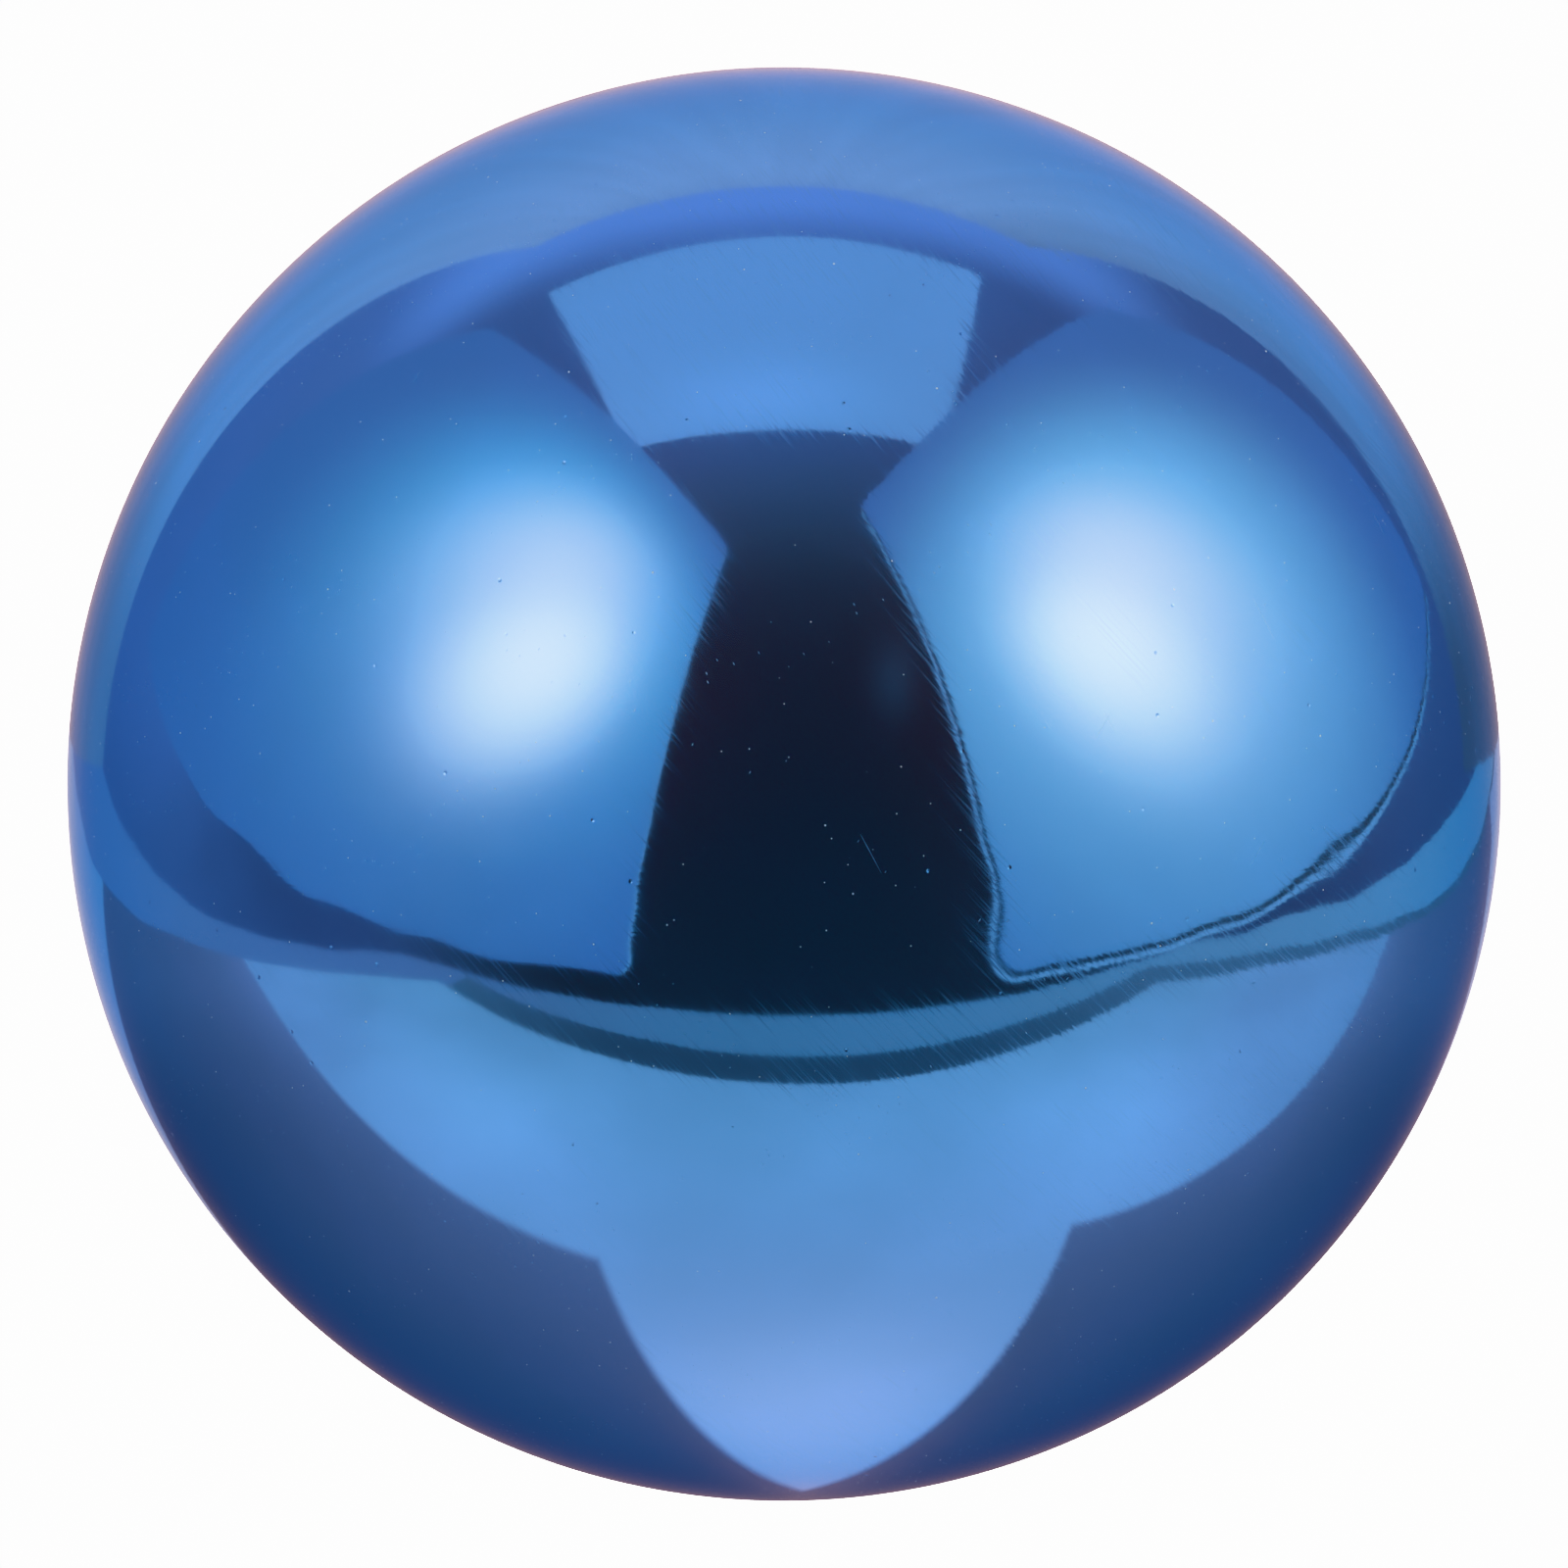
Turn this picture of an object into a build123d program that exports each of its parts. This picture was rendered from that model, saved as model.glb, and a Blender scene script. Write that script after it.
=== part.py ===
from build123d import *
import os
from math import cos, pi, radians, sin, sqrt

# Hollow garden mirror ball: two deep-drawn stainless steel half shells, butt-welded
# round the equator, ground flush and mirror-polished, then tinted. The lower pole has
# the small vent that lets the gas out while the seam is welded, closed by a plug.
#
# Frame: millimetres, +Z up, origin at the centre of the ball. The weld lies in the
# plane Z = 0 and the vent is on the -Z axis.

# Driving dimensions
BALL_DIAMETER = 250.0    # outside diameter, the 10 inch size
WALL = 0.6               # sheet thickness of both half shells
WELD_FACE_WIDTH = 3.2    # height of the weld on the outside, ground flush
WELD_ROOT_WIDTH = 2.0    # height of the weld where it comes through the wall
WELD_ROOT_HEIGHT = 0.4   # how far the root bead stands in from the wall
VENT_DIAMETER = 4.0      # vent hole at its outside edge
PLUG_LENGTH = 3.0        # overall length of the vent plug
PLUG_TAPER = 4.0         # half angle of the plug, which narrows inwards, degrees

# Worked out from the driving dimensions
OUTER_R = BALL_DIAMETER / 2
INNER_R = OUTER_R - WALL
ROOT_R = INNER_R - WELD_ROOT_HEIGHT
FACE_HALF = WELD_FACE_WIDTH / 2
ROOT_HALF = WELD_ROOT_WIDTH / 2


def on_arc(radius, height):
    """Point of a circle about the centre, in the XZ plane, at a height."""
    return (sqrt(radius**2 - height**2), height)


def on_pole_arc(radius, degrees_up):
    """Point of a circle about the centre, in the XZ plane, at an elevation."""
    angle = radians(degrees_up)
    return (radius * cos(angle), radius * sin(angle))


def turned(profile):
    """Full turn of a closed XZ profile about the Z axis."""
    return revolve(Plane.XZ * profile, axis=Axis.Z, revolution_arc=360)


def half_shell_profile():
    """Wall of the upper half from the weld's bevelled edge to the pole."""
    outer_edge = on_arc(OUTER_R, FACE_HALF)
    inner_edge = on_arc(INNER_R, ROOT_HALF)
    outline = ThreePointArc(outer_edge, on_pole_arc(OUTER_R, 45), (0, OUTER_R))
    outline += Line((0, OUTER_R), (0, INNER_R))
    outline += ThreePointArc((0, INNER_R), on_pole_arc(INNER_R, 45), inner_edge)
    outline += Line(inner_edge, outer_edge)
    return make_face(outline)


def upper_half_shell():
    """Pressed half shell above the weld."""
    return turned(half_shell_profile())


def plug_cone():
    """Tapered plug at the lower pole, longer than the wall at its outside end."""
    head_r = VENT_DIAMETER / 2
    tail_r = head_r - PLUG_LENGTH * sin(radians(PLUG_TAPER)) / cos(radians(PLUG_TAPER))
    outline = Polyline(
        (0, -OUTER_R),
        (head_r, -OUTER_R),
        (tail_r, PLUG_LENGTH - OUTER_R),
        (0, PLUG_LENGTH - OUTER_R),
        close=True,
    )
    return turned(make_face(outline))


def lower_half_shell():
    """Pressed half shell below the weld, with the tapered vent hole at its pole."""
    shell = mirror(upper_half_shell(), about=Plane.XY)
    return shell - plug_cone()


def equator_weld():
    """Weld that joins the half shells: flush outside, with a small root bead inside."""
    face_top = on_arc(OUTER_R, FACE_HALF)
    face_foot = on_arc(OUTER_R, -FACE_HALF)
    root_top = on_arc(INNER_R, ROOT_HALF)
    root_foot = on_arc(INNER_R, -ROOT_HALF)
    outline = ThreePointArc(face_foot, (OUTER_R, 0), face_top)
    outline += Line(face_top, root_top)
    outline += ThreePointArc(root_top, (ROOT_R, 0), root_foot)
    outline += Line(root_foot, face_foot)
    return turned(make_face(outline))


def vent_plug():
    """Plug pressed into the vent and ground to the ball's outside."""
    return plug_cone() & Sphere(OUTER_R)


def report_ball(pieces):
    """Print the steel's volume beside that of an even shell of the same wall."""
    steel = sum(piece.volume for piece in pieces.values())
    even_shell = 4 / 3 * pi * (OUTER_R**3 - INNER_R**3)
    print(f"steel {steel:.0f} mm3, even shell {even_shell:.0f} mm3")


PIECES = {
    "upper_half_shell": upper_half_shell(),
    "lower_half_shell": lower_half_shell(),
    "equator_weld": equator_weld(),
    "vent_plug": vent_plug(),
}

os.makedirs("parts", exist_ok=True)
for node, piece in PIECES.items():
    export_step(piece, f"parts/{node}.step")
report_ball(PIECES)
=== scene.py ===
"""Blue mirror-polished garden ball: two steel half shells, their ground weld and the vent plug."""
from math import asin, cos, exp, pi, radians, sin, sqrt, tan

import bpy
import numpy as np
from mathutils import Matrix, Vector


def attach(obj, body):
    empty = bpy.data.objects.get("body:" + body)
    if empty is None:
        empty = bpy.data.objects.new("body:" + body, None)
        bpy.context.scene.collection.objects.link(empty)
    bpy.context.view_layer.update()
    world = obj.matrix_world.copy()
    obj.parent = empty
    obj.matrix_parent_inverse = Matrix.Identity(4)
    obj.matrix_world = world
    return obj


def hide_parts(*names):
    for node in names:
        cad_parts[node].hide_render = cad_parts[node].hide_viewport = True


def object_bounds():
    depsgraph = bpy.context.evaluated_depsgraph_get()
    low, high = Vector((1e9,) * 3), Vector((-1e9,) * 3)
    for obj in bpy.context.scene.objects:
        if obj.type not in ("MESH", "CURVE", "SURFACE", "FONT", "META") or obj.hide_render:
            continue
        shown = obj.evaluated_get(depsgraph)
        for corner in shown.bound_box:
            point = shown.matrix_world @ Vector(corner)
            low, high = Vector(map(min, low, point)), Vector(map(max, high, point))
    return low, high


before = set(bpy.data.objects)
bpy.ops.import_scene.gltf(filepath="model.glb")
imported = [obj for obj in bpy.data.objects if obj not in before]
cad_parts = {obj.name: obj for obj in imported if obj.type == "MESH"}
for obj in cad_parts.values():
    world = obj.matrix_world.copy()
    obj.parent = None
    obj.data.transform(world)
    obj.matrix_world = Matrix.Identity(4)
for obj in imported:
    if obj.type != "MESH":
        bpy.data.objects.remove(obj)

CAD_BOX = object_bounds()

# ---------------------------------------------------------------- sizes, in metres
BALL_R = (CAD_BOX[1][2] - CAD_BOX[0][2]) / 2
WALL = 0.0006
WELD_FACE_HALF = 0.0016
WELD_ROOT_HALF = 0.0010
WELD_ROOT_HEIGHT = 0.0004
VENT_R = 0.0020
PLUG_LENGTH = 0.0030
PLUG_TAPER = radians(4)
PLUG_CHAMFER = 0.0003

SEGMENTS = 480           # steps round every piece
OUTER_ROWS = 110         # rows of the outer skin of a half shell
INNER_ROWS = 28          # rows of the hidden inside of a half shell
ROW_SPREAD = 1.3         # over 1 brings the rows nearer to each other towards the weld
WELD_ROWS = 9
PLUG_ROWS = 7

# ---------------------------------------------------------------- hand-ground surface
INSET = 0.00016          # the mean surface lies this far inside the true sphere
BAND_HALF = 0.0095       # half height of the linished band along the weld
BAND_SLOPE = 0.011       # how much the grinding tilts the band's surface, radians
BAND_WAVES = (0.008, 0.024)
SKIN_SLOPE = 0.0022      # the same for the pressed and polished skin
SKIN_WAVES = (0.030, 0.110)
VALLEY_DEPTH = 0.00003   # the weld is ground very slightly hollow
VALLEY_HALF = 0.0050
NORMAL_STEP = 0.0004     # distance over which a slope is taken, in ball radii
NEAR_POLE = 0.9          # height in ball radii from which east is no longer taken from Z


def random_waves(seed, count, lengths, slope):
    """Wave vectors, phases and heights of a sum of waves with a given overall slope."""
    rng = np.random.default_rng(seed)
    directions = rng.normal(size=(count, 3))
    directions /= np.linalg.norm(directions, axis=1)[:, None]
    wave_numbers = 2 * pi / rng.uniform(*lengths, size=count)
    heights = slope * sqrt(2 / count) / wave_numbers
    return directions * wave_numbers[:, None], rng.uniform(0, 2 * pi, count), heights


SKIN = random_waves(11, 16, SKIN_WAVES, SKIN_SLOPE)
BAND = random_waves(23, 30, BAND_WAVES, BAND_SLOPE)


def summed(points, waves):
    """Height of a set of waves at each point."""
    vectors, phases, heights = waves
    return np.sin(points @ vectors.T + phases) @ heights


def hollow(points):
    """How far the real surface lies inside the true sphere, at points of that sphere."""
    z = points[:, 2]
    band = np.exp(-(z / BAND_HALF) ** 2)
    valley = VALLEY_DEPTH * np.exp(-(z / VALLEY_HALF) ** 2)
    return INSET + valley + summed(points, SKIN) + summed(points, BAND) * band


def skin_normals(directions):
    """Normals of the real surface in these directions from the centre."""
    near_pole = np.abs(directions[:, 2:]) >= NEAR_POLE
    helper = np.where(near_pole, [[1.0, 0.0, 0.0]], [[0.0, 0.0, 1.0]])
    east = np.cross(helper, directions)
    east /= np.linalg.norm(east, axis=1)[:, None]
    north = np.cross(directions, east)
    normals = directions.copy()
    for tangent in (east, north):
        ahead = hollow(BALL_R * (directions + NORMAL_STEP * tangent))
        behind = hollow(BALL_R * (directions - NORMAL_STEP * tangent))
        normals += tangent * ((ahead - behind) / (2 * NORMAL_STEP * BALL_R))[:, None]
    return normals / np.linalg.norm(normals, axis=1)[:, None]


# ---------------------------------------------------------------- turned pieces
def arc(radius, start, end, count, spread=1.0):
    """Points (distance from the axis, height) of an arc about the centre, by latitude."""
    steps = np.linspace(0, 1, count) ** spread
    return [(radius * cos(a), radius * sin(a)) for a in start + (end - start) * steps]


def turned(name, profile, outer, closed):
    """Mesh turned about Z from a profile; its first `outer` points lie on the outside.

    A closed profile is a ring. Two neighbouring points on the axis are not joined.
    """
    angles = np.linspace(0, 2 * pi, SEGMENTS, endpoint=False)
    on_axis = [radius == 0 for radius, _ in profile]
    points, rows = [], []
    for (radius, height), single in zip(profile, on_axis):
        rows.append(len(points))
        for a in angles[:1] if single else angles:
            points.append((radius * cos(a), radius * sin(a), height))
    points = np.array(points)
    distance = np.linalg.norm(points, axis=1)[:, None]
    directions = points / distance
    points = directions * (distance - hollow(BALL_R * directions)[:, None])

    faces = []
    last = len(profile) if closed else len(profile) - 1
    for i in range(last):
        j = (i + 1) % len(profile)
        if on_axis[i] and on_axis[j]:
            continue
        for s in range(SEGMENTS):
            t = (s + 1) % SEGMENTS
            a, b = rows[i] + (0 if on_axis[i] else s), rows[i] + (0 if on_axis[i] else t)
            c, d = rows[j] + (0 if on_axis[j] else t), rows[j] + (0 if on_axis[j] else s)
            faces.append([v for k, v in enumerate((a, b, c, d)) if v not in (a, b, c, d)[:k]])
    mesh = bpy.data.meshes.new(name)
    mesh.from_pydata(points.tolist(), [], faces)
    mesh.validate()
    mesh.polygons.foreach_set("use_smooth", [True] * len(mesh.polygons))

    outside = np.zeros(len(points), bool)
    outside[:rows[outer] if outer < len(rows) else len(points)] = True
    normals = np.zeros((len(points), 3))
    normals[outside] = skin_normals(directions[outside])
    loops = np.empty(len(mesh.loops), int)
    mesh.loops.foreach_get("vertex_index", loops)
    custom = np.zeros((len(loops), 3))
    skin_faces = [p for p in mesh.polygons if all(outside[v] for v in p.vertices)]
    for face in skin_faces:
        span = slice(face.loop_start, face.loop_start + face.loop_total)
        custom[span] = normals[loops[span]]
    mesh.normals_split_custom_set(custom.tolist())
    piece = bpy.data.objects.new(name, mesh)
    bpy.context.scene.collection.objects.link(piece)
    return piece


def latitude_at(radius, height):
    """Latitude of a point at this height on a circle about the centre."""
    return asin(height / radius)


def half_shell(name, side):
    """Half shell with its bevelled weld edge; side is 1 above the weld and -1 below."""
    inner_r = BALL_R - WALL
    edge = latitude_at(BALL_R, WELD_FACE_HALF)
    root = latitude_at(inner_r, WELD_ROOT_HALF)
    if side > 0:
        outer = arc(BALL_R, edge, pi / 2, OUTER_ROWS, ROW_SPREAD)
        inner = arc(inner_r, pi / 2, root, INNER_ROWS)
        outer[-1] = (0, BALL_R)
        inner[0] = (0, inner_r)
        return turned(name, outer + inner, len(outer), True)
    vent_in = VENT_R - WALL * tan(PLUG_TAPER)
    outer = arc(BALL_R, -edge, -pi / 2 + VENT_R / BALL_R, OUTER_ROWS, ROW_SPREAD)
    inner = arc(inner_r, -pi / 2 + vent_in / inner_r, -root, INNER_ROWS)
    return turned(name, outer[::-1] + inner[::-1], len(outer), True)


def weld_ring(name):
    """Weld between the half shells: ground flush outside, with its root bead inside."""
    inner_r = BALL_R - WALL
    face = latitude_at(BALL_R, WELD_FACE_HALF)
    bead = []
    for z in np.linspace(WELD_ROOT_HALF, -WELD_ROOT_HALF, WELD_ROWS):
        bulge = WELD_ROOT_HEIGHT * (1 - (z / WELD_ROOT_HALF) ** 2)
        bead.append((sqrt(inner_r**2 - z**2) - bulge, z))
    outer = arc(BALL_R, -face, face, WELD_ROWS)
    return turned(name, outer + bead, len(outer), True)


def vent_plug(name):
    """Tapered plug in the vent, ground to the ball's outside."""
    cap = arc(BALL_R, -pi / 2, -pi / 2 + VENT_R / BALL_R, PLUG_ROWS)
    cap[0] = (0, -BALL_R)
    tail_z = PLUG_LENGTH - BALL_R
    tail_r = VENT_R - PLUG_LENGTH * tan(PLUG_TAPER)
    shoulder_r = tail_r + PLUG_CHAMFER * tan(PLUG_TAPER)
    tail = [(shoulder_r, tail_z - PLUG_CHAMFER), (tail_r - PLUG_CHAMFER, tail_z), (0, tail_z)]
    return turned(name, cap + tail, len(cap), False)


# ---------------------------------------------------------------- node helpers
class Nodes:
    """Short calls for building a node tree."""

    def __init__(self, tree):
        self.tree = tree

    def add(self, kind, **settings):
        node = self.tree.nodes.new(kind)
        for key, value in settings.items():
            setattr(node, key, value)
        return node

    def put(self, socket, value):
        """Link a socket into this one, or set it to a constant."""
        if isinstance(value, bpy.types.NodeSocket):
            self.tree.links.new(value, socket)
        else:
            socket.default_value = value

    def math(self, operation, *values):
        node = self.add("ShaderNodeMath", operation=operation)
        for socket, value in zip(node.inputs, values):
            self.put(socket, value)
        return node.outputs[0]

    def total(self, *values):
        """Sum of several numbers."""
        result = values[0]
        for value in values[1:]:
            result = self.math("ADD", result, value)
        return result

    def axes(self, vector):
        """The three numbers of a vector."""
        node = self.add("ShaderNodeSeparateXYZ")
        self.put(node.inputs[0], vector)
        return tuple(node.outputs)

    def vectors(self, operation, *values):
        node = self.add("ShaderNodeVectorMath", operation=operation)
        for socket, value in zip(node.inputs, values):
            self.put(socket, value)
        return node.outputs["Value"] if operation in ("LENGTH", "DOT_PRODUCT") else node.outputs[0]

    def scaled(self, vector, factor):
        node = self.add("ShaderNodeVectorMath", operation="SCALE")
        self.put(node.inputs[0], vector)
        self.put(node.inputs["Scale"], factor)
        return node.outputs[0]

    def ramp(self, value, low, high, to_low=0.0, to_high=1.0):
        """Smooth step from one value to another."""
        node = self.add("ShaderNodeMapRange", interpolation_type="SMOOTHSTEP")
        for socket, item in zip(node.inputs, (value, low, high, to_low, to_high)):
            self.put(socket, item)
        return node.outputs[0]

    def mixed(self, factor, first, second):
        """Colour between two colours."""
        node = self.add("ShaderNodeMix", data_type="RGBA")
        self.put(node.inputs["Factor"], factor)
        self.put(node.inputs["A"], (*first, 1) if isinstance(first, tuple) else first)
        self.put(node.inputs["B"], (*second, 1) if isinstance(second, tuple) else second)
        return node.outputs["Result"]

    def noise(self, vector, scale, detail=2.0, output="Fac"):
        node = self.add("ShaderNodeTexNoise")
        self.put(node.inputs["Vector"], vector)
        node.inputs["Scale"].default_value = scale
        node.inputs["Detail"].default_value = detail
        return node.outputs[output]

    def shaking(self, vector, scale, amount, detail=2.0):
        """Random tilt of the surface, about `amount` each way."""
        middle = self.vectors("SUBTRACT", self.noise(vector, scale, detail, "Color"), (0.5, 0.5, 0.5))
        return self.scaled(middle, amount)

    def stretched(self, vector, turn, scale):
        """The vector turned by `turn` and then scaled on each of its own axes."""
        node = self.add("ShaderNodeMapping", vector_type="TEXTURE")
        self.put(node.inputs["Vector"], vector)
        node.inputs["Rotation"].default_value = turn
        node.inputs["Scale"].default_value = [1 / s for s in scale]
        return node.outputs[0]

    def blob(self, vector, centre, size):
        """Bell-shaped spot of height 1, with its own size on each axis."""
        away = self.vectors("DIVIDE", self.vectors("SUBTRACT", vector, centre), size)
        squared = self.vectors("DOT_PRODUCT", away, away)
        return self.math("EXPONENT", self.math("MULTIPLY", squared, -1.0))

    def output(self, shader):
        out = self.add("ShaderNodeOutputMaterial")
        self.put(out.inputs["Surface"], shader)


def new_material(name):
    """Empty node material and its helper."""
    material = bpy.data.materials.new(name)
    material.use_nodes = True
    material.node_tree.nodes.clear()
    return material, Nodes(material.node_tree)


# ---------------------------------------------------------------- tinted steel
TINT = (0.122, 0.385, 0.860)
TINT_THIN = (0.116, 0.368, 0.800)
THIN_SCALE = 24.0        # scales are per metre
EDGE_TINT = (0.34, 0.55, 0.84, 1.0)
HAZE_WEIGHT = 0.7        # the film's soft haze over the mirror
HAZE_ROUGHNESS = 0.60
FILM_IOR = 1.6
MIRROR_ROUGHNESS = (0.045, 0.066)
MIRROR_SCALE = 38.0

BAND_FADE = (0.004, 0.014)           # heights between which the level grinding marks fade out
RIPPLE_SCALE = 55.0
RIPPLE_TILT = 0.003                  # tilts of the surface are in radians
SLANT_LINES = (radians(42), (130, 260, 3600))    # lean of the polishing lines and their scale
STEEP_LINES = (radians(66), (90, 240, 2600))
LEVEL_LINES = (0.0, (60, 60, 3600))
HAIR_LINES = (radians(48), (60, 220, 4200))
SLANT_TILT = 0.018
STEEP_TILT = 0.0108
LEVEL_TILT = 0.013
SLANT_FADE = (-0.04, 0.05)           # X between which the lines of a kind come in or fade out
LEVEL_FADE = (-0.11, -0.03)
HAIR_FADE = (-0.09, 0.02)
SLANT_LEAST = 0.3                    # share of the lines that stays on the other side
HAIR_LEAST = 0.4
LEVEL_MOST = 0.45                    # share of the level lines away from the weld
LEVEL_OVER_SLANT = 0.6               # share of the slanting lines that the level ones replace
PATCH_SCALE = 26.0
PATCH_LEAST = 0.45

PIT_SCALE = 135.0
PIT_TILT = 1.2
PIT_R = 0.00045
DUST = (0.30, 0.58, 0.88)
DUST_ROUGHNESS = 0.5
GRAIN_CORE = 0.6                     # share of a grain's radius that it fully covers
DUST_LAYERS = (                      # offset of the cells, their scale and the radius of a grain
    ((1.0, 2.0, 3.0), 125.0, 0.00024),
    ((3.0, 1.0, 2.0), 300.0, 0.00013),
)
SCRATCH_ROUGHNESS = 0.45
HAIR_ROUGHNESS = 0.09
SCRATCH_SCALE = (28, 1500, 1500)
SCRATCH_EDGE = (0.06, 0.16)
SCRATCH_SETS = (                     # turn of the random scratches and share of the cells with one
    ((0, radians(62), 0), 0.05),
    ((radians(25), radians(-50), radians(40)), 0.03),
)

SCRATCH_MARKS = (        # longitude from the front, latitude, lean from level, length, in degrees
    (-30, 33, -50, 8), (-5, 32, -5, 1), (-17, -48, -75, 8),
    (-10, -50, -75, 8), (23, -43, -70, 7), (31, -47, -65, 8),
)
SCRATCH_HALF = 0.0011    # half width in ball radii
SPECK_MARKS = ((-8, -1), (-48, 0), (-14, -3), (5, 1), (3, 6), (35, -23))   # longitude and latitude
SPECK_HALF = 0.0022


def cells(n, vector, scale):
    """Random points in space: distance to the nearest, its place and its random number."""
    node = n.add("ShaderNodeTexVoronoi")
    n.put(node.inputs["Vector"], vector)
    node.inputs["Scale"].default_value = scale
    chance = n.add("ShaderNodeSeparateColor")
    n.put(chance.inputs[0], node.outputs["Color"])
    return node.outputs["Distance"], node.outputs["Position"], chance.outputs["Red"]


def brushed(n, place, lines):
    """The place stretched along polishing lines of a given lean and scale."""
    lean, scale = lines
    return n.stretched(place, (0, lean, 0), scale)


def polishing(n, place, band):
    """Tilt from the polishing: slanting lines on the skin, level ones at the weld and on one side."""
    x = n.axes(place)[0]
    level_share = n.math("MAXIMUM", band, n.ramp(x, *LEVEL_FADE, LEVEL_MOST, 0.0))
    not_level = n.math("SUBTRACT", 1.0, n.math("MULTIPLY", level_share, LEVEL_OVER_SLANT))
    slant_share = n.math("MULTIPLY", n.ramp(x, *SLANT_FADE, SLANT_LEAST, 1.0), not_level)
    patches = n.ramp(n.noise(place, PATCH_SCALE), 0.35, 0.65, PATCH_LEAST, 1.0)
    slant = n.shaking(brushed(n, place, SLANT_LINES), 1.0, SLANT_TILT)
    steep = n.shaking(brushed(n, place, STEEP_LINES), 1.0, STEEP_TILT)
    level = n.shaking(brushed(n, place, LEVEL_LINES), 1.0, LEVEL_TILT)
    lines = n.scaled(n.vectors("ADD", slant, steep), n.math("MULTIPLY", slant_share, patches))
    return n.vectors("ADD", lines, n.scaled(level, level_share))


def pits(n, place):
    """Tilt from small round pits."""
    distance, centre, _ = cells(n, place, PIT_SCALE)
    inside = n.ramp(distance, 0.0, PIT_R * PIT_SCALE, 1.0, 0.0)
    steepness = n.math("MULTIPLY", inside, PIT_TILT / PIT_R)
    return n.scaled(n.vectors("SUBTRACT", centre, place), steepness)


def grains(n, place, offset, scale, radius):
    """Mask of small round grains of dust."""
    distance, _, _ = cells(n, n.vectors("ADD", place, offset), scale)
    return n.ramp(distance, radius * scale * GRAIN_CORE, radius * scale, 1.0, 0.0)


def scratches(n, place, turn, share):
    """Mask of thin straight scratches along one direction."""
    distance, _, chance = cells(n, n.stretched(place, turn, SCRATCH_SCALE), 1.0)
    chosen = n.math("GREATER_THAN", chance, 1 - share)
    return n.math("MULTIPLY", n.ramp(distance, *SCRATCH_EDGE, 1.0, 0.0), chosen)


def mark(n, place, longitude, latitude, lean, length, half_width):
    """Mask of a short straight mark on the ball, its place in degrees and its width in ball radii."""
    east = Vector((cos(radians(longitude)), sin(radians(longitude)), 0))
    front = Vector((east.y, -east.x, 0))
    outward = front * cos(radians(latitude)) + Vector((0, 0, sin(radians(latitude))))
    north = outward.cross(east)
    along = east * cos(radians(lean)) + north * sin(radians(lean))
    half = tan(radians(length) / 2)
    from_middle = n.vectors("SUBTRACT", place, tuple(outward))
    reach = n.vectors("DOT_PRODUCT", from_middle, tuple(along))
    reach = n.math("MINIMUM", n.math("MAXIMUM", reach, -half), half)
    distance = n.vectors("LENGTH", n.vectors("SUBTRACT", from_middle, n.scaled(tuple(along), reach)))
    return n.ramp(distance, half_width / 2, half_width, 1.0, 0.0)


def most(n, masks):
    """Where any of several masks is, as the highest of them."""
    result = masks[0]
    for mask in masks[1:]:
        result = n.math("MAXIMUM", result, mask)
    return result


def tinted_steel(name):
    """Mirror-polished steel under a thin blue film, with its lines, pits, dust and scratches."""
    material, n = new_material(name)
    place = n.add("ShaderNodeTexCoord").outputs["Object"]
    in_radii = n.scaled(place, 1 / BALL_R)
    x, _, z = n.axes(place)
    band = n.ramp(n.math("ABSOLUTE", z), *BAND_FADE, 1.0, 0.0)

    ripple = n.shaking(place, RIPPLE_SCALE, RIPPLE_TILT, 1.0)
    tilt = n.vectors("ADD", n.vectors("ADD", polishing(n, place, band), pits(n, place)), ripple)
    to_world = n.add("ShaderNodeVectorTransform", vector_type="VECTOR",
                     convert_from="OBJECT", convert_to="WORLD")
    n.put(to_world.inputs[0], tilt)
    smooth = n.add("ShaderNodeNewGeometry").outputs["Normal"]
    normal = n.vectors("NORMALIZE", n.vectors("ADD", smooth, to_world.outputs[0]))

    worn = most(n, [scratches(n, place, *kind) for kind in SCRATCH_SETS]
                + [mark(n, in_radii, *scratch, SCRATCH_HALF) for scratch in SCRATCH_MARKS])
    dust = most(n, [grains(n, place, *layer) for layer in DUST_LAYERS]
                + [mark(n, in_radii, *speck, 0, 0, SPECK_HALF) for speck in SPECK_MARKS])
    hairs = n.ramp(n.noise(brushed(n, place, HAIR_LINES), 1.0, 3.0), 0.50, 0.70)
    hairs = n.math("MULTIPLY", hairs, n.ramp(x, *HAIR_FADE, HAIR_LEAST, 1.0))
    roughness = n.total(n.ramp(n.noise(place, MIRROR_SCALE, 4.0), 0.3, 0.7, *MIRROR_ROUGHNESS),
                        n.math("MULTIPLY", hairs, HAIR_ROUGHNESS),
                        n.math("MULTIPLY", worn, SCRATCH_ROUGHNESS),
                        n.math("MULTIPLY", dust, DUST_ROUGHNESS))

    thin = n.math("MAXIMUM", n.ramp(n.noise(place, THIN_SCALE, 5.0), 0.35, 0.65), hairs)
    film = n.mixed(thin, TINT, TINT_THIN)
    shader = n.add("ShaderNodeBsdfPrincipled")
    shader.inputs["Specular Tint"].default_value = EDGE_TINT
    shader.inputs["Coat Weight"].default_value = HAZE_WEIGHT
    shader.inputs["Coat Roughness"].default_value = HAZE_ROUGHNESS
    shader.inputs["Coat IOR"].default_value = FILM_IOR
    n.put(shader.inputs["Base Color"], n.mixed(dust, film, DUST))
    n.put(shader.inputs["Metallic"], n.math("SUBTRACT", 1.0, dust))
    n.put(shader.inputs["Roughness"], roughness)
    n.put(shader.inputs["Normal"], normal)
    n.output(shader.outputs[0])
    return material


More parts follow.
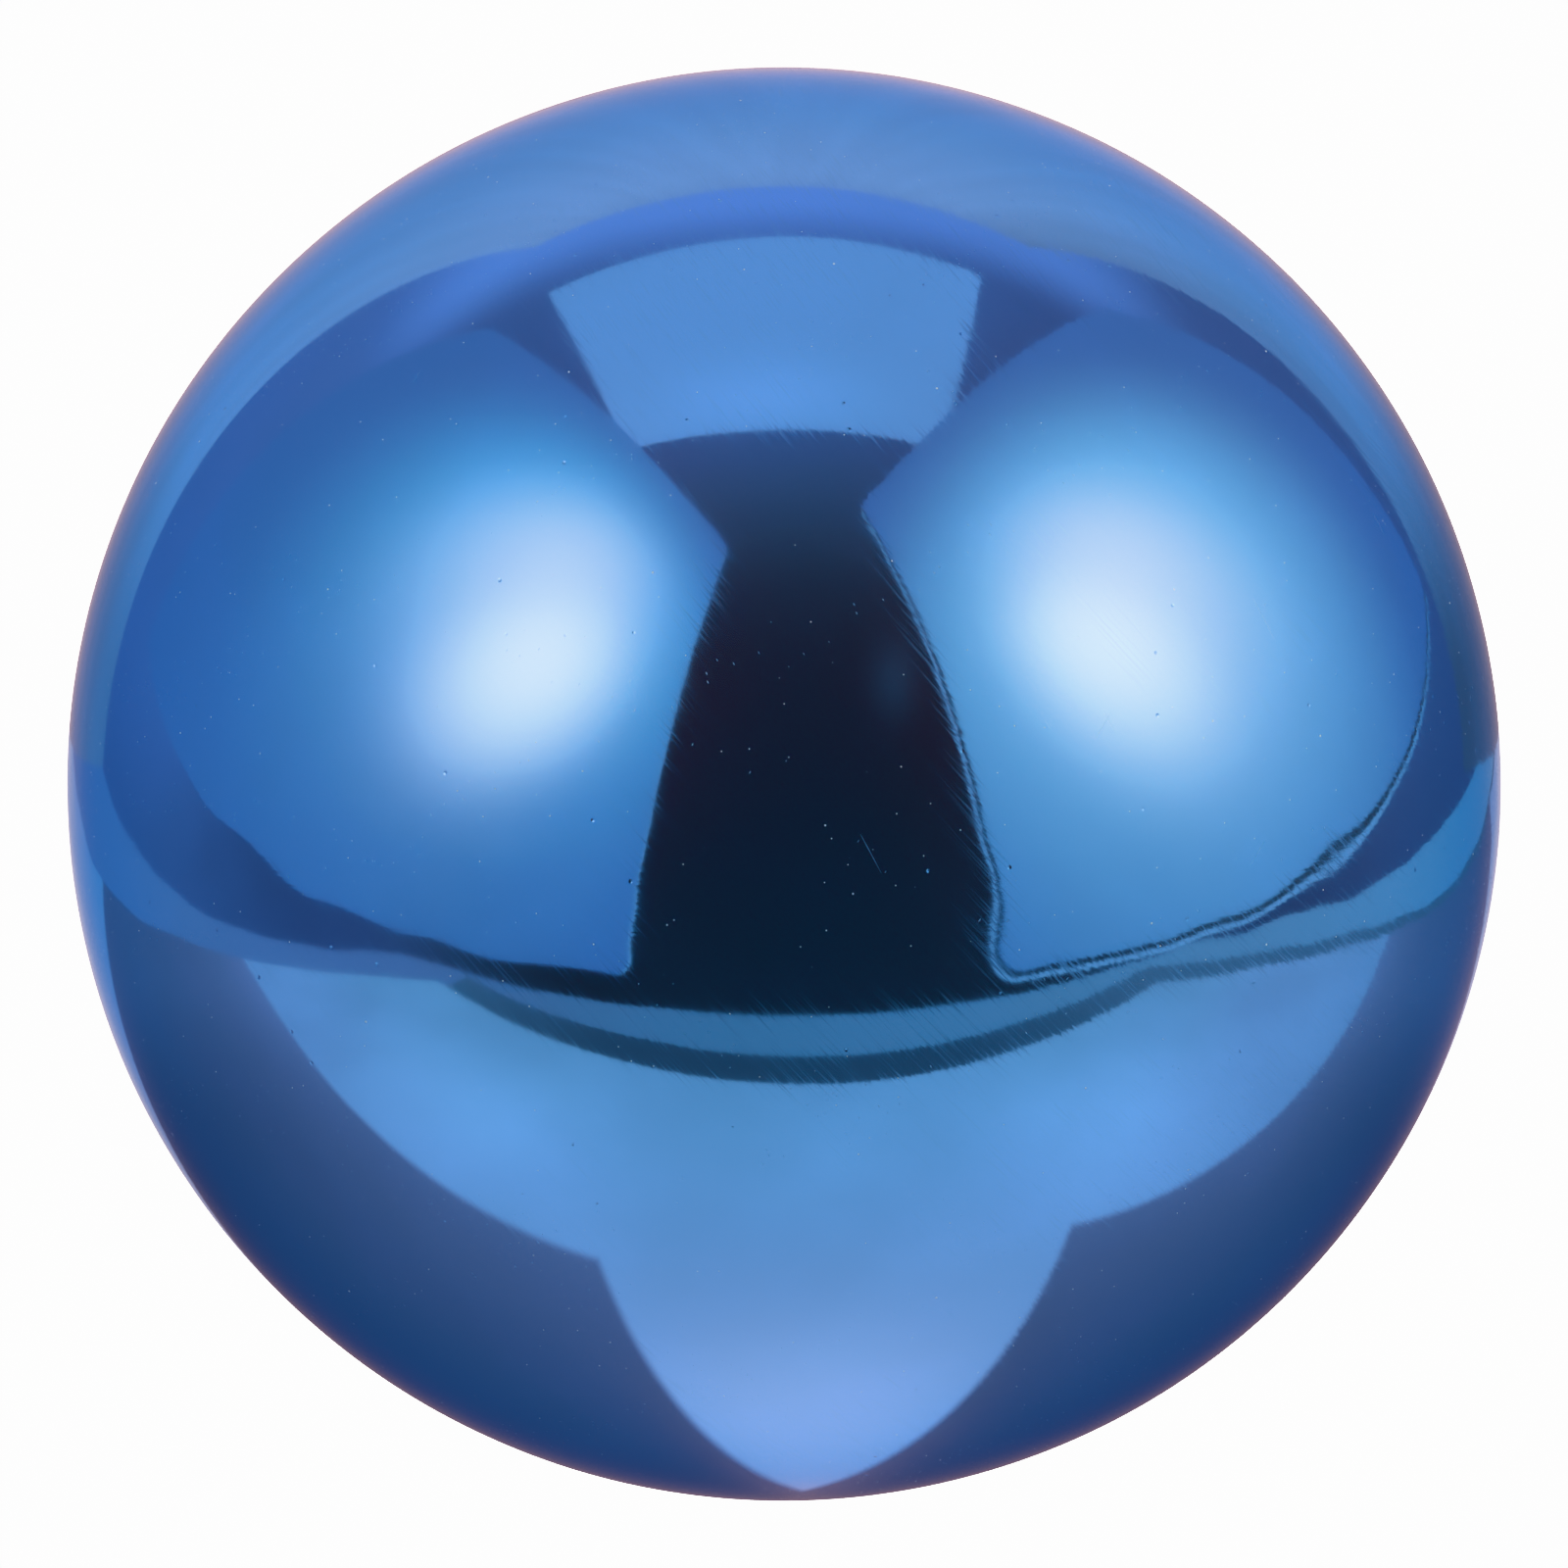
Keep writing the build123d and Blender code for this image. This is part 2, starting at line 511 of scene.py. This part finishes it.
# ---------------------------------------------------------------- studio, in ball radii
WHITE = 4.5              # strength of the white that the camera sees round the ball
FLOOR_SIZE = 400
FLOOR_DEPTH = 1.02
TABLE_TOP_DEPTH = 1.001
TABLE_GAP_DEPTH = 1.004
TABLE_LIP_DEPTH = 1.008

RIGHT_BOX_SIZE = (5.92, 4.86)
RIGHT_BOX_PLACE = ((-0.48, -0.84, -0.25), (-0.04, -0.27, 0.96), (2.50, -0.35, 2.43))
LEFT_BOX_SIZE = (5.92, 5.14)
LEFT_BOX_PLACE = ((-0.48, 0.83, 0.26), (0.08, -0.27, 0.95), (-2.39, -1.18, 2.32))
BOX_CORNER = 0.12
BOX_LAYER = 0.004        # distance between the rim, the seam and the diffuser of a softbox
RIM_WIDTH = 0.028
RIM_LIGHT = 0.80
SEAM_LIGHT = 0.07
LAMP_BODY = (0.36, 0.38, 0.52)
CORE_COLOUR = (9.0, 3.3, 1.5)
HALO_COLOUR = (4.0, 1.0, 0.4)
CORE_WIDTH, CORE_LENGTH = 0.40, 0.60
HALO_WIDTH, HALO_LENGTH = 0.65, 0.85
SPREAD_WIDTH = 1.6

TABLE_BACK = 7.5
TABLE_SHADE = 0.215      # the table in the ball's shadow
TABLE_LIT = (0.67, 0.74)
TABLE_SPOTS = (          # centre, size and height of the brighter spots where it's lit
    ((-1.2, -1.25, 0), (0.6, 0.45, 1), 0.26),
    ((1.2, -1.2, 0), (0.6, 0.5, 1), 0.26),
    # next: painted glow of light that the ball reflects onto the table in front of its contact
    ((0.02, -0.52, 0), (0.45, 0.30, 1), 0.42),
    ((0.0, -1.3, 0), (0.9, 0.8, 1), 0.09),
)
SHADOW_ARC = ((0.65, 10.6, 0), 11.6)   # centre and radius of the shadow's curved front edge
SHADOW_LINE = (-61, 1.14)              # the way a straight edge faces, in degrees, and its distance
TONGUE_LINES = ((-35, 0.18), (-131, 0.19))
BACK_LINES = ((53, 0.2), (145, 0.2))
SHADE_COLOUR = (1.50, 0.97, 1.06)
LIT_FRONT_COLOUR = (1.10, 1.03, 0.99)
LIT_BACK_COLOUR = (1.20, 1.0, 1.02)
# colour of the painted glow of light that the ball reflects onto the table near its contact
CONTACT_COLOUR = (1.75, 1.0, 0.90)
LIP_LIGHT = (0.44, 0.58)
# painted shade in the gap under the table's front edge, darkest in its middle
GAP_LIGHT = (0.15, 0.32)

CARD_HEIGHT = 6.0
CARD_FRONT = 3.25        # from above the ball's centre towards the camera
CARD_BACK = 0.75
CARD_HALF = (2.55, 2.90, 2.35)   # half widths at the front, back left and back right
CARD_LIGHT = 0.75
CARD_COLOUR = (1.08, 0.98, 1.06)
BACKDROP_SIZE = (17.0, 18.5)
BACKDROP_CENTRE = (0, 8.0, 8.15)
BACKDROP_COLOUR = (1.50, 1.02, 1.00)
ROOM_LIGHT = 0.050
ROOM_COLOUR = (1.02, 0.88, 1.20)


def glowing(name, build):
    """One-sided emission whose strength and colour come from build(nodes, place in ball radii)."""
    material, n = new_material(name)
    place = n.scaled(n.add("ShaderNodeTexCoord").outputs["Object"], 1 / BALL_R)
    strength, colour = build(n, place)
    light = n.add("ShaderNodeEmission")
    n.put(light.inputs["Strength"], strength)
    n.put(light.inputs["Color"], (*colour, 1) if isinstance(colour, tuple) else colour)
    dark = n.add("ShaderNodeEmission")
    dark.inputs["Color"].default_value = (0, 0, 0, 1)
    mix = n.add("ShaderNodeMixShader")
    n.put(mix.inputs[0], n.add("ShaderNodeNewGeometry").outputs["Backfacing"])
    n.put(mix.inputs[1], light.outputs[0])
    n.put(mix.inputs[2], dark.outputs[0])
    n.output(mix.outputs[0])
    return material


def even(strength):
    """Build an even white glow."""
    return lambda n, place: (strength, (1, 1, 1))


def sheet(name, outline, build, matrix):
    """Flat stage sheet from an outline in ball radii, seen only in reflections."""
    mesh = bpy.data.meshes.new(name)
    mesh.from_pydata([(x * BALL_R, y * BALL_R, 0) for x, y in outline], [], [list(range(len(outline)))])
    mesh.materials.append(glowing(name + "_light", build))
    panel = bpy.data.objects.new(name, mesh)
    panel.matrix_world = matrix
    panel.visible_camera = False
    bpy.context.scene.collection.objects.link(panel)
    return panel


def rectangle(width, height, corner=0.0, middle=(0, 0)):
    """Outline of a rectangle with rounded corners."""
    points = []
    for quarter, (sx, sy) in enumerate(((1, 1), (-1, 1), (-1, -1), (1, -1))):
        x = middle[0] + sx * (width / 2 - corner)
        y = middle[1] + sy * (height / 2 - corner)
        for a in np.linspace(quarter * pi / 2, (quarter + 1) * pi / 2, 8 if corner else 1):
            points.append((x + corner * cos(a), y + corner * sin(a)))
    return points


def panel_matrix(right, up, centre, forward=0.0):
    """Matrix of a panel whose own X and Y axes are given, at a place in ball radii."""
    x = Vector(right).normalized()
    y = Vector(up)
    y = (y - x * x.dot(y)).normalized()
    z = x.cross(y)
    matrix = Matrix((x, y, z)).transposed().to_4x4()
    matrix.translation = (Vector(centre) + z * forward) * BALL_R
    return matrix


def lamp_glow(spot, shift, lean, size, spread):
    """Softbox diffuser: an even body, a wide spread and the lamp's leaning halo and hot core."""
    core = (spot[0] + shift[0], spot[1] + shift[1])
    halo = (spot[0] - shift[0], spot[1] - shift[1])
    bells = ((core, CORE_LENGTH * size, CORE_WIDTH * size, CORE_COLOUR),
             (halo, HALO_LENGTH * size, HALO_WIDTH * size, HALO_COLOUR),
             (halo, SPREAD_WIDTH, SPREAD_WIDTH, spread))

    def build(n, place):
        colour = LAMP_BODY
        for centre, length, width, tint in bells:
            from_centre = n.vectors("SUBTRACT", place, (*centre, 0))
            away = n.stretched(from_centre, (0, 0, lean), (1 / length, 1 / width, 1))
            bell = n.math("EXPONENT", n.math("MULTIPLY", n.vectors("DOT_PRODUCT", away, away), -1.0))
            colour = n.vectors("ADD", colour, n.scaled(tint, bell))
        return 1.0, colour

    return build


def softbox(name, place, size, rim, seam, glow):
    """Softbox front: diffuser, dark seam and pale rim, which show on the sides that rim names.

    Its place is the directions of its own X and Y axes and its centre.
    """
    width, height = size
    sheet(name, rectangle(width, height, BOX_CORNER), glow, panel_matrix(*place, forward=2 * BOX_LAYER))
    if seam:
        shift = (rim[0] * seam, rim[1] * seam)
        outline = rectangle(width, height, BOX_CORNER, shift)
        sheet(name + "_seam", outline, even(SEAM_LIGHT), panel_matrix(*place, forward=BOX_LAYER))
    shift = (rim[0] * (seam + RIM_WIDTH), rim[1] * (seam + RIM_WIDTH))
    outline = rectangle(width, height, BOX_CORNER, shift)
    sheet(name + "_rim", outline, even(RIM_LIGHT), panel_matrix(*place))


def side_of(n, place, facing, offset):
    """How far a place lies beyond a straight line on the table, which faces this way in degrees."""
    normal = (cos(radians(facing)), sin(radians(facing)), 0)
    return n.math("SUBTRACT", n.vectors("DOT_PRODUCT", place, normal), offset)


def light_spot(n, place, centre, size, height):
    """Bell-shaped spot of a given height."""
    return n.math("MULTIPLY", n.blob(place, centre, size), height)


def table_glow(n, place):
    """Light on the table: two ball shadows, with lit tongues before and behind the contact."""
    centre, radius = SHADOW_ARC
    curved = n.math("SUBTRACT", n.vectors("LENGTH", n.vectors("SUBTRACT", place, centre)), radius)
    front = n.math("MAXIMUM", curved, side_of(n, place, *SHADOW_LINE))
    tongue = n.math("MINIMUM", *(side_of(n, place, *line) for line in TONGUE_LINES))
    back = n.math("MINIMUM", *(side_of(n, place, *line) for line in BACK_LINES))
    lit = n.math("MAXIMUM", n.ramp(front, -0.02, 0.02), n.ramp(tongue, -0.014, 0.014))
    behind = n.ramp(back, -0.03, 0.03)

    near_edge = n.math("EXPONENT", n.math("MULTIPLY", n.math("MINIMUM", front, 0.0), 2.4))
    far = n.ramp(n.vectors("LENGTH", place), 1.4, 3.0, 0.0, 0.11)
    shade = n.total(TABLE_SHADE, far, n.math("MULTIPLY", near_edge, 0.15),
                    n.math("MULTIPLY", behind, 0.42))
    bright = n.total(n.ramp(n.noise(place, 1.3, 3.0), 0.3, 0.7, *TABLE_LIT),
                     *(light_spot(n, place, *spot) for spot in TABLE_SPOTS))
    strength = n.total(shade, n.math("MULTIPLY", lit, n.math("SUBTRACT", bright, shade)))

    warmth = n.math("MAXIMUM", n.ramp(n.axes(place)[1], -1.9, -0.7), behind)
    # painted glow of light that the ball reflects onto the table near its contact
    contact_glow = n.blob(place, (0.02, -0.40, 0), (0.55, 0.45, 1))
    lit_colour = n.mixed(warmth, LIT_FRONT_COLOUR, LIT_BACK_COLOUR)
    lit_colour = n.mixed(contact_glow, lit_colour, CONTACT_COLOUR)
    return strength, n.mixed(n.math("MAXIMUM", lit, behind), SHADE_COLOUR, lit_colour)


def lip_glow(n, place):
    """Table edge: a little brighter towards the right and the far end."""
    x, y, _ = n.axes(place)
    colour = n.mixed(n.ramp(x, -3.0, 0.0), (1.10, 0.93, 1.10), (0.98, 1.02, 1.0))
    return n.total(n.ramp(x, -1.0, 3.5, *LIP_LIGHT), n.ramp(y, -1.5, 1.5, 0.0, 0.08)), colour


def gap_painted_shade(n, place):
    """Painted shade in the gap under the table's front edge, lighter towards its ends."""
    return n.ramp(n.math("ABSOLUTE", n.axes(place)[0]), 0.5, 2.6, *GAP_LIGHT), (1, 1, 1)


def bowed_side(start, spread, run, front):
    """Side of the table from front to back: it bows outwards and then runs straight back."""
    depths = (TABLE_BACK - front) * np.linspace(0, 1, 12) ** 2
    return [(start + spread * (1 - exp(-depth / run)), front + depth) for depth in depths]


LEFT_SIDE = bowed_side(-2.3, -1.45, 1.6, -2.05)
RIGHT_SIDE = bowed_side(2.4, 1.45, 1.5, -1.85)
TABLE_TOP = RIGHT_SIDE + LEFT_SIDE[::-1]
# outline of the sheet that carries the painted shade under the table's front edge
TABLE_GAP = [(-2.2, -2.3), (0.0, -2.2)] + bowed_side(2.6, 1.45, 1.5, -2.1)
TABLE_GAP += [(0.0, TABLE_BACK), (-2.0, 0.0)]
TABLE_LIP = [(x, -2.7 + x * x / 16) for x in np.linspace(-3.0, 3.2, 12)]
TABLE_LIP += [(4.5, -0.9), (6.5, 4.0), (6.5, TABLE_BACK), (-8.0, TABLE_BACK)]


def card_glow(n, place):
    """Overhead card, a little brighter towards its front."""
    front = light_spot(n, place, (-0.2, -2.6, 0), (1.6, 0.8, 1), 0.16)
    return n.total(CARD_LIGHT, front), CARD_COLOUR


def backdrop_glow(n, place):
    """Backdrop with faint upright folds, and painted shade at its top, its right side and its lower
    right.
    """
    x, y, _ = n.axes(place)
    half_width, half_height = BACKDROP_SIZE[0] / 2, BACKDROP_SIZE[1] / 2
    folds = n.noise(n.stretched(place, (0, 0, 0), (1.6, 0.08, 1)), 1.0, 3.0)
    top = n.ramp(y, 6.0, half_height, 0.80, 0.74)
    side = n.ramp(x, 5.0, half_width, 1.0, 0.74)
    low = n.ramp(y, -8.5, -5.0, n.ramp(x, -7.0, 7.0, 0.66, 0.40), 1.0)
    lit = n.math("MULTIPLY", n.math("MULTIPLY", top, low), side)
    return n.math("MULTIPLY", lit, n.ramp(folds, 0.3, 0.7, 0.95, 1.03)), BACKDROP_COLOUR


def build_studio():
    """Table, softboxes, overhead card and backdrop, in ball radii about the centre."""
    right_lamp = lamp_glow((1.7, -0.85), (0.2, -0.2), radians(65), 0.85, (0.8, 1.1, 0.75))
    softbox("softbox_right", RIGHT_BOX_PLACE, RIGHT_BOX_SIZE, (1, -1), 0.03, right_lamp)
    left_lamp = lamp_glow((-1.5, -0.35), (-0.15, -0.4), radians(120), 1.1, (0.2, 0.95, 0.75))
    softbox("softbox_left", LEFT_BOX_PLACE, LEFT_BOX_SIZE, (-1, 0), 0.0, left_lamp)

    for name, outline, build, depth in (("table_top", TABLE_TOP, table_glow, TABLE_TOP_DEPTH),
                                        ("table_gap", TABLE_GAP, gap_painted_shade, TABLE_GAP_DEPTH),
                                        ("table_lip", TABLE_LIP, lip_glow, TABLE_LIP_DEPTH)):
        sheet(name, outline, build, Matrix.Translation((0, 0, -depth * BALL_R)))

    card_front = [(CARD_HALF[0], -CARD_FRONT), (-CARD_HALF[0], -CARD_FRONT)]
    card_back = [(-CARD_HALF[1], CARD_BACK), (CARD_HALF[2], CARD_BACK)]
    place = Matrix.Translation((0, 0, CARD_HEIGHT * BALL_R))
    sheet("overhead_card", card_back + card_front, card_glow, place)

    upright = panel_matrix((1, 0, 0), (0, 0, 1), BACKDROP_CENTRE)
    sheet("backdrop", rectangle(*BACKDROP_SIZE), backdrop_glow, upright)

    place = Matrix.Translation((0, 0, -FLOOR_DEPTH * BALL_R))
    floor = sheet("floor", rectangle(FLOOR_SIZE, FLOOR_SIZE), even(WHITE), place)
    floor.visible_camera = True
    floor.visible_glossy = False
    floor.visible_diffuse = False


def build_world():
    """Dim room in the reflections, lighter above and behind, and white behind the ball."""
    world = bpy.data.worlds.new("studio")
    world.use_nodes = True
    world.node_tree.nodes.clear()
    n = Nodes(world.node_tree)
    toward = n.add("ShaderNodeTexCoord").outputs["Generated"]
    x, y, z = n.axes(toward)
    above = n.math("MULTIPLY", n.math("POWER", n.math("MAXIMUM", z, 0.0), 5.0), 0.30)
    sides = n.ramp(y, -0.80, -0.35, 0.0, 0.15)
    behind = n.ramp(y, -0.15, 0.45, 0.0, 0.22)
    behind = n.math("MULTIPLY", behind, n.ramp(z, -0.2, 0.1, 0.55, 1.0))
    walls = n.math("MULTIPLY", n.math("ADD", behind, sides), n.ramp(z, 0.6, 0.95, 1.0, 0.35))
    walls = n.math("MULTIPLY", walls, n.ramp(x, -0.2, 0.6, 1.0, 0.62))
    ceiling = n.math("MULTIPLY", n.ramp(y, 0.20, 0.42), n.ramp(z, 0.6, 0.8, 0.0, 0.34))
    faint_patch = light_spot(n, toward, (0.29, -0.87, 0.42), (0.055, 0.10, 0.10), 0.06)
    room = n.add("ShaderNodeBackground")
    n.put(room.inputs["Strength"], n.total(ROOM_LIGHT, above, walls, ceiling, faint_patch))
    n.put(room.inputs["Color"], n.mixed(n.ramp(y, -0.8, -0.3), (1, 1, 1), ROOM_COLOUR))
    white = n.add("ShaderNodeBackground")
    white.inputs["Strength"].default_value = WHITE
    white.inputs["Color"].default_value = (1, 1, 1, 1)
    mix = n.add("ShaderNodeMixShader")
    n.put(mix.inputs[0], n.add("ShaderNodeLightPath").outputs["Is Camera Ray"])
    n.put(mix.inputs[1], room.outputs[0])
    n.put(mix.inputs[2], white.outputs[0])
    out = n.add("ShaderNodeOutputWorld")
    n.put(out.inputs["Surface"], mix.outputs[0])
    bpy.context.scene.world = world


# ---------------------------------------------------------------- camera
CAMERA_RISE = radians(9)
CAMERA_DISTANCE = 10 * BALL_R
FRAME_FILL = 0.9160      # the ball's width over the picture's


def build_camera():
    """Camera in front of the ball, a little above its centre."""
    data = bpy.data.cameras.new("camera")
    half_view = tan(asin(BALL_R / CAMERA_DISTANCE)) / FRAME_FILL
    data.lens = data.sensor_width / 2 / half_view
    data.clip_end = 100
    camera = bpy.data.objects.new("camera", data)
    place = Vector((0, -cos(CAMERA_RISE), sin(CAMERA_RISE))) * CAMERA_DISTANCE
    camera.matrix_world = Matrix.Translation(place) @ Matrix.Rotation(pi / 2 - CAMERA_RISE, 4, "X")
    bpy.context.scene.collection.objects.link(camera)
    bpy.context.scene.camera = camera


# ---------------------------------------------------------------- assembly
def build_ball():
    """The four pieces of the ball in place of their CAD nodes."""
    pieces = (
        (half_shell("upper_shell", 1), "upper_half_shell", "tinted_mirror_steel"),
        (half_shell("lower_shell", -1), "lower_half_shell", "tinted_mirror_steel"),
        (weld_ring("weld_bead"), "equator_weld", "tinted_weld"),
        (vent_plug("vent_pin"), "vent_plug", "tinted_plug"),
    )
    for piece, node, slot in pieces:
        piece.data.materials.append(tinted_steel(slot + "_" + piece.name))
        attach(piece, "root")
        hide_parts(node)


build_camera()
build_world()
build_studio()
build_ball()
bpy.context.scene.view_settings.view_transform = "Khronos PBR Neutral"
